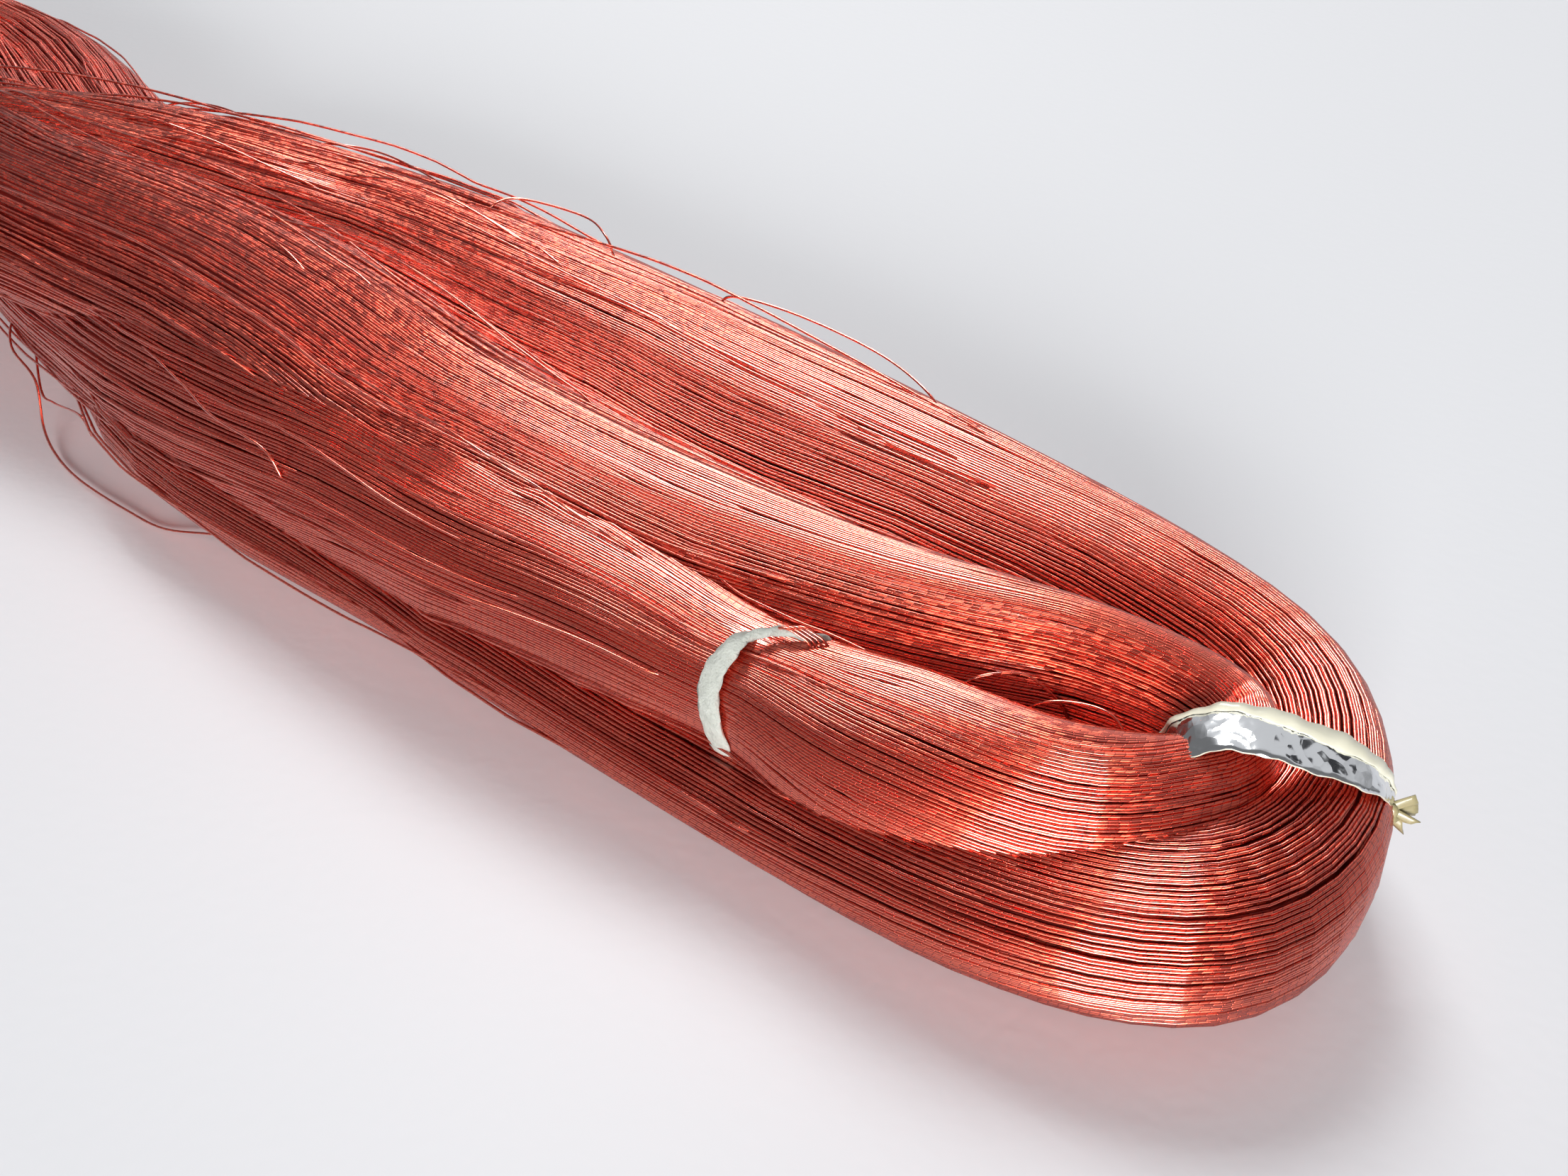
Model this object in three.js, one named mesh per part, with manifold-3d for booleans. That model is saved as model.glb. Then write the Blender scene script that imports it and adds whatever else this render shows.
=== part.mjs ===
// A hank of coral red thread: a fine yarn wrapped in lacquered silver leaf, wound into a long closed
// skein that is turned over itself once on each side of its middle. A loop of metallised film marks
// the near loop end, and a twist of white paper holds one lock of the turns together.
//
// Millimetres. X runs along the hank towards the marked loop end, Y across it, and Z up.
// The origin is under the middle of the whole object, on the surface that it lies on.
import * as THREE from 'three';
import { ParametricGeometry } from 'three/addons/geometries/ParametricGeometry.js';
import { mergeVertices } from 'three/addons/utils/BufferGeometryUtils.js';
import Module from 'manifold-3d';

// How finely the locks are cut up, and how square their sections are (2 would be an ellipse).
const LOCK_STEPS_PER_ROW = 3;
const LOCK_SIDES = 14;
const LOCK_POWER = 2.3;
const BAND_STEPS_PER_ROW = 2;

// The free space that is kept between the turns and what is tied round them.
const GAP = 0.3;

// Corners closer than this are one corner.
const CORNER_TOLERANCE = 0.00001;

// The film strip: as wide as the real one, and as thick as a sheet is made here.
const STRIP_WIDTH = 3.2;
const STRIP_THICKNESS = 1.0;
const STRIP_EYE = { x: 139.4, y: -8.6 };
const STRIP_HEADING = THREE.MathUtils.degToRad(24);

// The paper tie, and the rolled end that it leaves along the groove.
const TIE_WIDTH = 1.6;
const TIE_THICKNESS = 0.9;
const TIE_FOOT = { x: 117.6, y: -15.0 };
const TIE_HEADING = THREE.MathUtils.degToRad(90);
const TIE_END_RADIUS = 0.5;

// The knot of the strip, with its two short cut ends.
const KNOT = { x: 150.1, y: -1.7, z: 9.0 };
const KNOT_RADIUS = 0.8;
const END_LENGTH = 1.9;
const END_ROOT_WIDTH = 0.9;
const END_TIP_WIDTH = 1.7;
const END_THICKNESS = 0.8;
const UPPER_END = { turn: THREE.MathUtils.degToRad(55), lift: THREE.MathUtils.degToRad(24) };
const LOWER_END = { turn: THREE.MathUtils.degToRad(3), lift: THREE.MathUtils.degToRad(-34) };

// The inner turns of the hank, from its middle up to the near loop end and back. Each row is one
// section: where its middle lies, and half its width and height.
const INNER_TURNS = [
  { x: 0, y: 5.0, z: 7.0, halfWidth: 7.0, halfHeight: 6.5 },
  { x: 32, y: -5.5, z: 5.4, halfWidth: 8.0, halfHeight: 5.2 },
  { x: 62, y: -12.6, z: 6.4, halfWidth: 6.8, halfHeight: 5.8 },
  { x: 90, y: -14.9, z: 8.0, halfWidth: 5.4, halfHeight: 5.4 },
  { x: 106, y: -15.1, z: 8.8, halfWidth: 4.5, halfHeight: 4.6 },
  { x: 117.5, y: -14.9, z: 8.8, halfWidth: 4.0, halfHeight: 4.1 },
  { x: 127, y: -14.4, z: 8.0, halfWidth: 4.6, halfHeight: 5.6 },
  { x: 136, y: -12.5, z: 7.4, halfWidth: 4.0, halfHeight: 6.3 },
  { x: 141.8, y: -8.0, z: 7.3, halfWidth: 3.0, halfHeight: 6.3 },
  { x: 141, y: -3.8, z: 7.5, halfWidth: 2.9, halfHeight: 6.4 },
  { x: 133, y: -4.2, z: 8.2, halfWidth: 3.3, halfHeight: 6.5 },
  { x: 118, y: -7.4, z: 8.4, halfWidth: 5.0, halfHeight: 6.1 },
  { x: 92, y: -9.4, z: 9.2, halfWidth: 7.0, halfHeight: 5.7 },
  { x: 62, y: -7.6, z: 11.0, halfWidth: 8.0, halfHeight: 5.2 },
  { x: 32, y: -10.0, z: 11.8, halfWidth: 8.0, halfHeight: 5.0 },
];

const INNER_TIP_ROW = 8;

// The outer turns of the hank, in the same way.
const OUTER_TURNS = [
  { x: 0, y: 11.0, z: 7.0, halfWidth: 7.0, halfHeight: 6.5 },
  { x: 32, y: 2.0, z: 4.6, halfWidth: 8.0, halfHeight: 5.0 },
  { x: 62, y: -11.7, z: 4.4, halfWidth: 8.2, halfHeight: 4.8 },
  { x: 92, y: -13.4, z: 3.7, halfWidth: 7.3, halfHeight: 4.1 },
  { x: 116, y: -13.9, z: 3.4, halfWidth: 7.0, halfHeight: 3.8 },
  { x: 134, y: -14.3, z: 4.6, halfWidth: 6.0, halfHeight: 5.0 },
  { x: 144.1, y: -11.2, z: 5.4, halfWidth: 4.9, halfHeight: 5.8 },
  { x: 146.3, y: -4.0, z: 6.1, halfWidth: 4.0, halfHeight: 6.5 },
  { x: 139.8, y: 3.2, z: 6.4, halfWidth: 4.8, halfHeight: 6.8 },
  { x: 122, y: 5.4, z: 6.5, halfWidth: 7.4, halfHeight: 6.9 },
  { x: 92, y: 6.8, z: 6.5, halfWidth: 9.6, halfHeight: 6.9 },
  { x: 62, y: 6.5, z: 8.0, halfWidth: 9.4, halfHeight: 6.2 },
  { x: 32, y: -1.5, z: 10.4, halfWidth: 9.5, halfHeight: 5.6 },
];
const OUTER_TIP_ROW = 7;

// The strip's way round the turns at the loop end: how far along its heading from the eye, how far to
// the left of that, and how high.
const STRIP_ROUTE = [
  { along: -0.6, left: 0, z: 6.0 },
  { along: -0.3, left: 0, z: 10.0 },
  { along: 0.3, left: 0, z: 12.6 },
  { along: 2.0, left: 0, z: 14.2 },
  { along: 4.0, left: 0, z: 14.6 },
  { along: 6.3, left: 0, z: 14.2 },
  { along: 8.7, left: 0.2, z: 13.4 },
  { along: 10.7, left: 0.9, z: 11.8 },
  { along: 11.9, left: 2.2, z: 9.2 },
  { along: 12.3, left: 3.6, z: 6.2 },
  { along: 11.7, left: 4.9, z: 2.9 },
  { along: 9.2, left: 4.9, z: 1.0 },
  { along: 5.5, left: 3.2, z: 0.8 },
  { along: 1.6, left: 1, z: 1.0 },
  { along: -0.3, left: 0, z: 2.6 },
];

// The tie's way round its lock, in the same way.
const TIE_ROUTE = [
  { along: -4.5, left: 0, z: 9.2 },
  { along: -3.4, left: 0, z: 12.2 },
  { along: -0.4, left: 0, z: 13.4 },
  { along: 2.8, left: 0, z: 12.4 },
  { along: 4.4, left: 0, z: 9.0 },
  { along: 3.0, left: 0, z: 5.4 },
  { along: 0.0, left: 0, z: 4.2 },
  { along: -3.0, left: 0, z: 5.6 },
];

// The rolled end of the tie, along the groove between two locks.
const TIE_END_ROUTE = [
  { x: 117.7, y: -15.4, z: 13.5 },
  { x: 118.7, y: -14.6, z: 13.6 },
  { x: 119.9, y: -13.9, z: 13.3 },
  { x: 121.0, y: -13.4, z: 12.8 },
];

const wasm = await Module();
wasm.setup();

const UP = new THREE.Vector3(0, 0, 1);

const threadMaterial = new THREE.MeshStandardMaterial({ color: 0xc4554b, roughness: 0.38, metalness: 0.75 });
const filmMaterial = new THREE.MeshStandardMaterial({ color: 0xd6d8d4, roughness: 0.15, metalness: 0.9 });
const paperMaterial = new THREE.MeshStandardMaterial({ color: 0xd2d3cc, roughness: 0.85, metalness: 0.0 });

// A closed mesh as a solid that can be joined and cut.
function solidOf(geometry) {
  const bare = geometry.clone();
  bare.deleteAttribute('normal');
  bare.deleteAttribute('uv');
  const merged = mergeVertices(bare, CORNER_TOLERANCE);
  return new wasm.Manifold(new wasm.Mesh({
    numProp: 3,
    vertProperties: new Float32Array(merged.attributes.position.array),
    triVerts: new Uint32Array(merged.index.array),
  }));
}

// A solid as a mesh again.
function geometryOf(solid) {
  const mesh = solid.getMesh();
  const geometry = new THREE.BufferGeometry();
  geometry.setAttribute('position', new THREE.BufferAttribute(mesh.vertProperties, 3));
  geometry.setIndex(new THREE.BufferAttribute(mesh.triVerts, 1));
  geometry.computeVertexNormals();
  return geometry;
}

// The outline of a lock, as fractions of its half width and half height: a rounded oblong.
function lockOutline(corner) {
  const angle = (2 * Math.PI * corner) / LOCK_SIDES;
  const swell = (value) => Math.sign(value) * Math.abs(value) ** (2 / LOCK_POWER);
  return { across: swell(Math.cos(angle)), up: swell(Math.sin(angle)) };
}

// The outline of a flat band: its four corners.
function bandOutline(corner) {
  const signs = [[1, 1], [-1, 1], [-1, -1], [1, -1]];
  return { across: signs[corner][0], up: signs[corner][1] };
}

// A closed route through rows, with a section at each of its equal steps. Sections stand square to
// the route, with their width along what acrossAt gives for the direction of the route there.
class Route {
  constructor(rows, { stepsPerRow, sides, outline, acrossAt }) {
    const middles = rows.map((row) => new THREE.Vector3(row.x, row.y, row.z));
    const halves = rows.map((row) => new THREE.Vector3(row.halfWidth, row.halfHeight, 0));
    this.middle = new THREE.CatmullRomCurve3(middles, true, 'catmullrom', 0.5);
    this.half = new THREE.CatmullRomCurve3(halves, true, 'catmullrom', 0.5);
    this.steps = rows.length * stepsPerRow;
    this.sides = sides;
    this.outline = outline;
    this.acrossAt = acrossAt;
  }

  // Puts in target the given corner of the section at a step, drawn in to the middle where size is 0.
  cornerAt(step, side, size, target) {
    const t = (step % this.steps) / this.steps;
    const corner = this.outline(side % this.sides);
    const half = this.half.getPoint(t);
    const tangent = this.middle.getTangent(t);
    const across = this.acrossAt(tangent);
    const up = new THREE.Vector3().crossVectors(across, tangent).normalize();
    target.copy(this.middle.getPoint(t));
    target.addScaledVector(across, size * half.x * corner.across);
    target.addScaledVector(up, size * half.y * corner.up);
  }

  // The whole way round, as a ring.
  ring() {
    const point = (u, v, target) => {
      this.cornerAt(Math.round(v * this.steps), Math.round((1 - u) * this.sides), 1, target);
    };
    return new ParametricGeometry(point, this.sides, this.steps);
  }

  // The way from one step to a later one, closed at both ends.
  length(firstStep, lastStep) {
    const rings = lastStep - firstStep + 2;
    const point = (u, v, target) => {
      const ring = Math.round(v * rings);
      const step = THREE.MathUtils.clamp(firstStep + ring - 1, firstStep, lastStep);
      const size = ring === 0 || ring === rings ? 0 : 1;
      this.cornerAt(step, Math.round((1 - u) * this.sides), size, target);
    };
    return new ParametricGeometry(point, this.sides, rings);
  }
}

// A lock of turns, its near half as the rows give it, and its far half the same, turned end for end.
// It comes as two lengths that meet at the loop ends, because its runs press into each other.
function lockLengths(nearRows, tipRow) {
  const farRows = nearRows.map((row) => ({ ...row, x: -row.x, y: -row.y }));
  const route = new Route([...nearRows, ...farRows], {
    stepsPerRow: LOCK_STEPS_PER_ROW,
    sides: LOCK_SIDES,
    outline: lockOutline,
    acrossAt: (tangent) => new THREE.Vector3().crossVectors(tangent, UP).normalize(),
  });
  const nearTip = tipRow * LOCK_STEPS_PER_ROW;
  const farTip = nearTip + route.steps / 2;
  return [route.length(nearTip, farTip), route.length(farTip, nearTip + route.steps)];
}

// A band that goes round through a foot and along a heading, in an upright plane but for what a row
// takes it to the left. The margin is what is added on every side, to cut room for the band.
function band(rows, { foot, heading, width, thickness, margin }) {
  const ahead = new THREE.Vector3(Math.cos(heading), Math.sin(heading), 0);
  const across = new THREE.Vector3(Math.sin(heading), -Math.cos(heading), 0);
  const sections = rows.map((row) => ({
    x: foot.x + ahead.x * row.along - across.x * row.left,
    y: foot.y + ahead.y * row.along - across.y * row.left,
    z: row.z,
    halfWidth: width / 2 + margin,
    halfHeight: thickness / 2 + margin,
  }));
  const route = new Route(sections, {
    stepsPerRow: BAND_STEPS_PER_ROW,
    sides: 4,
    outline: bandOutline,
    acrossAt: () => across,
  });
  return route.ring();
}

function filmBand(margin) {
  return band(STRIP_ROUTE, {
    foot: STRIP_EYE,
    heading: STRIP_HEADING,
    width: STRIP_WIDTH,
    thickness: STRIP_THICKNESS,
    margin,
  });
}

function paperBand(margin) {
  return band(TIE_ROUTE, {
    foot: TIE_FOOT,
    heading: TIE_HEADING,
    width: TIE_WIDTH,
    thickness: TIE_THICKNESS,
    margin,
  });
}

// The rolled end of the paper tie: a thin round length along its route.
function paperEnd(margin) {
  const radius = TIE_END_RADIUS + margin;
  const section = new THREE.Shape();
  section.absarc(0, 0, radius, 0, 2 * Math.PI, false);
  const points = TIE_END_ROUTE.map((row) => new THREE.Vector3(row.x, row.y, row.z));
  const last = points.at(-1);
  last.add(last.clone().sub(points.at(-2)).setLength(margin));
  const route = new THREE.CatmullRomCurve3(points);
  return new THREE.ExtrudeGeometry(section, { extrudePath: route, steps: 6, curveSegments: 4 });
}

// The lump of the strip's knot.
function filmKnot(margin) {
  const lump = new THREE.SphereGeometry(KNOT_RADIUS + margin, 12, 8);
  lump.translate(KNOT.x, KNOT.y, KNOT.z);
  return lump;
}

// A cut end of the strip: a flat tab that widens away from the knot, leaning by the given angles.
function filmEnd({ turn, lift, margin }) {
  const root = END_ROOT_WIDTH / 2 + margin;
  const tip = END_TIP_WIDTH / 2 + margin;
  const outline = new THREE.Shape();
  outline.moveTo(0, -root);
  outline.lineTo(END_LENGTH + margin, -tip);
  outline.lineTo(END_LENGTH + margin, tip);
  outline.lineTo(0, root);
  outline.closePath();
  const depth = END_THICKNESS + 2 * margin;
  const tab = new THREE.ExtrudeGeometry(outline, { depth, bevelEnabled: false });
  tab.translate(0, 0, -depth / 2);
  tab.rotateX(Math.PI / 2);
  tab.rotateY(-lift);
  tab.rotateZ(turn);
  tab.translate(KNOT.x, KNOT.y, KNOT.z);
  return tab;
}

// Every piece of the film strip, with a margin on each side.
function filmPieces(margin) {
  return [
    filmBand(margin),
    filmKnot(margin),
    filmEnd({ ...UPPER_END, margin }),
    filmEnd({ ...LOWER_END, margin }),
  ];
}

function paperPieces(margin) {
  return [paperBand(margin), paperEnd(margin)];
}

function joined(geometries) {
  const solids = geometries.map(solidOf);
  return solids.reduce((whole, solid) => whole.add(solid));
}

// The wound turns: both locks as one solid, flat where they lie on the surface, with room for the ties.
function woundTurns() {
  const belowSurface = new THREE.BoxGeometry(400, 100, 10);
  belowSurface.translate(0, 0, -5);
  const lengths = [...lockLengths(INNER_TURNS, INNER_TIP_ROW), ...lockLengths(OUTER_TURNS, OUTER_TIP_ROW)];
  return joined(lengths)
    .subtract(solidOf(belowSurface))
    .subtract(joined(filmPieces(GAP)))
    .subtract(joined(paperPieces(GAP)));
}

function named(name, solid, material) {
  const mesh = new THREE.Mesh(geometryOf(solid), material);
  mesh.name = name;
  return mesh;
}

const hank = new THREE.Group();
hank.add(named('hank', woundTurns(), threadMaterial));
hank.add(named('foil_strip', joined(filmPieces(0)), filmMaterial));
hank.add(named('paper_tie', joined(paperPieces(0)), paperMaterial));

// The origin goes under the middle of everything.
const bounds = new THREE.Box3().setFromObject(hank);
const middle = bounds.getCenter(new THREE.Vector3());
hank.position.set(-middle.x, -middle.y, -bounds.min.z);

export default hank;
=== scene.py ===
# %% [markdown]
# A hank of coral red leaf thread lies on a pale table. The thread is a fine yarn that is wrapped in narrow
# strips of lacquered silver leaf, so every turn shines like a tiny red tube of metal. A film strip marks the
# loop end, and a twist of white paper holds one lock of turns together.
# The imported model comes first, because every piece below is placed by it.

# %% Load the frame
import math
from collections import namedtuple

import bmesh
import bpy
import numpy as np
from mathutils import Matrix, Vector
from mathutils.kdtree import KDTree


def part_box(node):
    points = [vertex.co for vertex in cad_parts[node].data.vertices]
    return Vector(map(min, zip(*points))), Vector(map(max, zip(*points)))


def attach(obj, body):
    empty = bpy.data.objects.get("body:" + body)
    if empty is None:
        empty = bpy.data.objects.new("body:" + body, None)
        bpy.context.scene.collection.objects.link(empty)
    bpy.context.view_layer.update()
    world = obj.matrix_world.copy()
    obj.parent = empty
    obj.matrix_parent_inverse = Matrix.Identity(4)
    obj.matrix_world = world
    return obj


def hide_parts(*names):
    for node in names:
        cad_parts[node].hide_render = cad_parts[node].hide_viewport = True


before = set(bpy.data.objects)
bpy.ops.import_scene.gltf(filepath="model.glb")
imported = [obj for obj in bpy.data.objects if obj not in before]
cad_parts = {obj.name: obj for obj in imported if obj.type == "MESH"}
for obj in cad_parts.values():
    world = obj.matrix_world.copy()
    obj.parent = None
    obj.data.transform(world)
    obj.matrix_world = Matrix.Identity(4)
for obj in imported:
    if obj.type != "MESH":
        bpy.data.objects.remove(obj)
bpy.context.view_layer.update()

MM = 0.001
hank_low, hank_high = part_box("hank")
print("nodes:", sorted(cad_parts))

# %% [markdown]
# The sizes below are in millimetres, measured from the middle of the hank. The model's own origin lies a
# little to one side of that, because the strip's ends stick out at one end only. The hank itself is the same
# both ways round, so the middle of its box gives the shift.

# %% Place the hank's middle
SHIFT = np.array([(hank_low.x + hank_high.x) / 2 / MM, 0.0, 0.0])


def placed(points):
    """Points of the hank in millimetres, as metres in the frame."""
    return (np.asarray(points, float) + SHIFT) * MM


print("the hank's middle lies at x =", round(SHIFT[0], 3), "mm")

# %% [markdown]
# The camera looks down on the near loop end from close by, at about the height of a cup, so the far end of
# the hank runs out of the picture. It comes first, because all that follows is judged through it.

# %% Camera
CAMERA_PLACE = (156.54, -61.83, 67.0)
CAMERA_HEADING = (-0.61504570, 0.78849146)
CAMERA_DOWN = math.radians(40)
LENS = 34.18
SENSOR = 36.0


def add_camera():
    data = bpy.data.cameras.new("camera")
    data.sensor_fit = "HORIZONTAL"
    data.sensor_width = SENSOR
    data.lens = LENS
    data.clip_start = 0.005
    data.clip_end = 10.0
    camera = bpy.data.objects.new("camera", data)
    bpy.context.scene.collection.objects.link(camera)
    level = math.cos(CAMERA_DOWN)
    ahead = Vector((CAMERA_HEADING[0] * level, CAMERA_HEADING[1] * level, -math.sin(CAMERA_DOWN)))
    camera.location = Vector(placed([CAMERA_PLACE])[0])
    camera.rotation_mode = "QUATERNION"
    camera.rotation_quaternion = ahead.to_track_quat("-Z", "Y")
    bpy.context.scene.camera = camera
    return camera


camera = add_camera()
print("camera at", [round(value / MM, 1) for value in camera.location])

# %% [markdown]
# The winding is one long skein, turned over itself. It is described by two closed locks of turns, and each
# row of a table is one section of a lock: where its middle lies, and half its width and height. The far half
# of the hank is the near half turned end for end.

# %% Sections of the two locks
Section = namedtuple("Section", "x y z half_width half_height")

INNER_TURNS = [
    Section(0, 5.0, 7.0, 7.0, 6.5),
    Section(32, -5.5, 5.4, 8.0, 5.2),
    Section(62, -12.6, 6.4, 6.8, 5.8),
    Section(90, -14.9, 8.0, 5.4, 5.4),
    Section(106, -15.1, 8.8, 4.5, 4.6),
    Section(117.5, -14.9, 8.8, 4.0, 4.1),
    Section(127, -14.4, 8.0, 4.6, 5.6),
    Section(136, -12.5, 7.4, 4.0, 6.3),
    Section(141.8, -8.0, 7.3, 3.0, 6.3),
    Section(141, -3.8, 7.5, 2.9, 6.4),
    Section(133, -4.2, 8.2, 3.3, 6.5),
    Section(118, -7.4, 8.4, 5.0, 6.1),
    Section(92, -9.4, 9.2, 7.0, 5.7),
    Section(62, -7.6, 11.0, 8.0, 5.2),
    Section(32, -10.0, 11.8, 8.0, 5.0),
]

OUTER_TURNS = [
    Section(0, 11.0, 7.0, 7.0, 6.5),
    Section(32, 2.0, 4.6, 8.0, 5.0),
    Section(62, -11.7, 4.4, 8.2, 4.8),
    Section(92, -13.4, 3.7, 7.3, 4.1),
    Section(116, -13.9, 3.4, 7.0, 3.8),
    Section(134, -14.3, 4.6, 6.0, 5.0),
    Section(144.1, -11.2, 5.4, 4.9, 5.8),
    Section(146.3, -4.0, 6.1, 4.0, 6.5),
    Section(139.8, 3.2, 6.4, 4.8, 6.8),
    Section(122, 5.4, 6.5, 7.4, 6.9),
    Section(92, 6.8, 6.5, 9.6, 6.9),
    Section(62, 6.5, 8.0, 9.4, 6.2),
    Section(32, -1.5, 10.4, 9.5, 5.6),
]

print("rows in the near half:", len(INNER_TURNS), "inner and", len(OUTER_TURNS), "outer")

# %% [markdown]
# A smooth curve goes through the rows, and each station on it has a rounded, slightly square section. A
# place on a lock's surface is then a station along it and a distance round its section, which starts on the
# underside, where no seam shows.

# %% A lock and its surface
STEPS_PER_ROW = 6
LOCK_POWER = 2.3
RIM_SAMPLES = 360


def through_rows(rows, places):
    """Values and slopes at row places of a closed table, on the smooth curve through its rows."""
    row = np.floor(places).astype(int)
    part = (places - row)[:, None]
    before, here, after, beyond = (rows[(row + step) % len(rows)] for step in (-1, 0, 1, 2))
    bend = 2 * before - 5 * here + 4 * after - beyond
    twist = 3 * here - before - 3 * after + beyond
    values = 0.5 * (2 * here + (after - before) * part + bend * part**2 + twist * part**3)
    slopes = 0.5 * ((after - before) + 2 * bend * part + 3 * twist * part**2)
    return values, slopes


def unit(vectors):
    return vectors / np.linalg.norm(vectors, axis=-1, keepdims=True)


class Lock:
    """One closed lock of turns, cut into stations."""

    def __init__(self, near_rows, steps_per_row):
        near = np.array(near_rows, float)
        rows = np.vstack([near, near * [-1, -1, 1, 1, 1]])
        self.stations = len(rows) * steps_per_row
        values, slopes = through_rows(rows, np.arange(self.stations) / steps_per_row)
        self.middle = values[:, :3]
        self.half_width = values[:, 3]
        self.half_height = values[:, 4]
        self.along = unit(slopes[:, :3])
        self.across = unit(np.cross(self.along, [0.0, 0.0, 1.0]))
        self.up = np.cross(self.across, self.along)
        steps = np.linalg.norm(np.roll(self.middle, -1, 0) - self.middle, axis=1)
        self.length = steps.sum()
        self.travel = (np.cumsum(steps) - steps) / self.length
        self.measure_rims()

    def measure_rims(self):
        """The distance round each section, from its underside, at even angles."""
        self.angles = np.linspace(-0.5 * math.pi, 1.5 * math.pi, RIM_SAMPLES + 1)
        power = 2 / LOCK_POWER
        self.rim_across = np.sign(np.cos(self.angles)) * np.abs(np.cos(self.angles)) ** power
        self.rim_up = np.sign(np.sin(self.angles)) * np.abs(np.sin(self.angles)) ** power
        wide = np.diff(self.rim_across)[None, :] * self.half_width[:, None]
        high = np.diff(self.rim_up)[None, :] * self.half_height[:, None]
        round_it = np.cumsum(np.hypot(wide, high), axis=1)
        self.rim = np.hstack([np.zeros((self.stations, 1)), round_it])
        self.girth = self.rim[:, -1]

    def spot(self, distance):
        """Points and outward normals at distances round each station's section, stations by turns."""
        distance = np.mod(distance, self.girth[:, None])
        angle = np.array([np.interp(row, rim, self.angles) for row, rim in zip(distance, self.rim)])
        wide, high = np.cos(angle), np.sin(angle)
        power = 2 / LOCK_POWER
        flat = np.sign(wide) * np.abs(wide) ** power * self.half_width[:, None]
        tall = np.sign(high) * np.abs(high) ** power * self.half_height[:, None]
        steep = 2 - power
        out_flat = np.sign(wide) * np.abs(wide) ** steep / self.half_width[:, None]
        out_tall = np.sign(high) * np.abs(high) ** steep / self.half_height[:, None]
        across, up = self.across[:, None, :], self.up[:, None, :]
        points = self.middle[:, None, :] + flat[..., None] * across + tall[..., None] * up
        return points, unit(out_flat[..., None] * across + out_tall[..., None] * up)


inner = Lock(INNER_TURNS, STEPS_PER_ROW)
outer = Lock(OUTER_TURNS, STEPS_PER_ROW)
for name, lock in (("inner", inner), ("outer", outer)):
    print(name, "turns:", round(lock.length), "mm a turn,", round(lock.girth.max(), 1), "mm round at most")

# %% [markdown]
# Materials start from what the real ones are. Colours are written as sRGB hex values, and one function turns
# them to linear. One small function adds a node with its settings and links.

# %% Material helpers


def linear(hex_colour):
    """An sRGB hex colour as linear red, green, blue and alpha."""
    parts = [int(hex_colour[i : i + 2], 16) / 255 for i in (1, 3, 5)]
    return [p / 12.92 if p <= 0.04045 else ((p + 0.055) / 1.055) ** 2.4 for p in parts] + [1.0]


def add(tree, kind, links=None, **settings):
    """Adds a node. Settings name its properties or its unlinked inputs, and links its linked inputs."""
    node = tree.nodes.new("ShaderNode" + kind)
    for name, value in settings.items():
        if hasattr(node, name):
            setattr(node, name, value)
        else:
            socket = name.replace("_", " ")
            node.inputs[int(socket[5:]) if socket.startswith("input") else socket].default_value = value
    for name, source in (links or {}).items():
        tree.links.new(source, node.inputs[name])
    return node


def new_material(name):
    """A material and its node tree, with nothing but the output in it."""
    material = bpy.data.materials.new(name)
    material.use_nodes = True
    tree = material.node_tree
    for node in list(tree.nodes):
        if node.type != "OUTPUT_MATERIAL":
            tree.nodes.remove(node)
    return material, tree


def finish_material(tree, shader):
    output = next(node for node in tree.nodes if node.type == "OUTPUT_MATERIAL")
    tree.links.new(shader.outputs[0], output.inputs["Surface"])


print("middle grey in linear light:", round(linear("#808080")[0], 3))

# %% [markdown]
# The thread is lacquered silver leaf on paper, cut into a narrow strip and wound round a yarn. The strip
# shines as metal does, coloured by its clear red lacquer. Where one wrap ends and the next begins a thin
# dark line runs slantwise over the thread, so a lit turn looks like a row of bright dashes. The UV map
# holds millimetres along the turn, and once round it, so the wraps follow every bend. The wraps are drawn
# half a millimetre long; those of the real thread are a little longer.

# %% Lacquered silver leaf
WRAP = 0.52
WRAP_TILT = 0.07
LEAF_COLOUR = "#F26C50"
LEAF_DEEP = "#E4563F"
SEAM_COLOUR = "#A8342A"
SEAM_SHARE = 0.08
SEAM_GROOVE = 0.010
SMOOTHEST_LEAF = 0.21
ROUGHEST_LEAF = 0.31


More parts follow.
